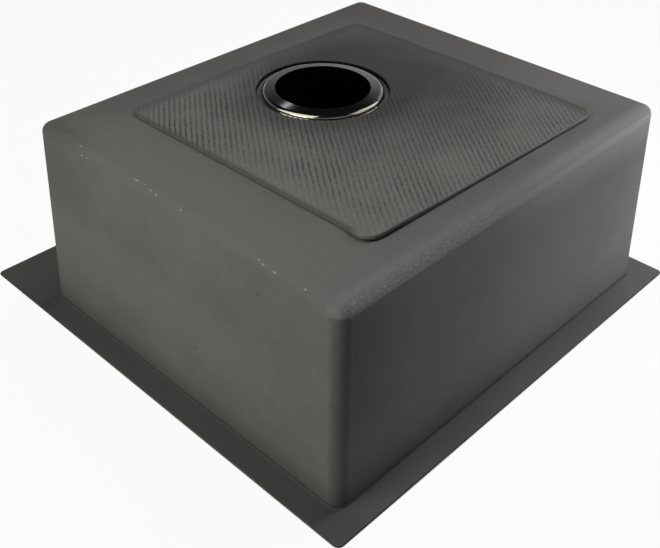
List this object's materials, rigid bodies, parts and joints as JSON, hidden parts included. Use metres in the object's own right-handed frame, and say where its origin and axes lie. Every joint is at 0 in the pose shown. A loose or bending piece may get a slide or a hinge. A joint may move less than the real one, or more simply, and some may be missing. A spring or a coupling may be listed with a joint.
{
  "type": "kitchen sink bowl",
  "caption": "Square single-bowl stainless kitchen sink lying upside down: rim with a wide tap ledge, drafted bowl, tight corners, sound coating, dimpled damping pad and raised outlet seat.",
  "frame": {"origin": "middle of the rim's face, which lies on the ground", "axes": "+Z from the rim's face towards the outlet, up as the sink lies here and down in use; +X from the wide ledge towards the narrow front border; +Y along the front edge"},
  "size_m": [0.5, 0.5, 0.2116],
  "materials": {
    "steel": "satin inside, polished on the outlet seat",
    "plate_steel": "satin",
    "weld": "as welded",
    "pad": "matte, dimpled",
    "adhesive": "matte",
    "coat": "sprayed, slightly rough"
  },
  "bodies": {
    "root": {"basin": "steel", "rim_plate": "plate_steel", "rim_weld": "weld", "damping_pad": "pad", "pad_adhesive": "adhesive", "sound_coat": "coat"}
  },
  "joints": []
}
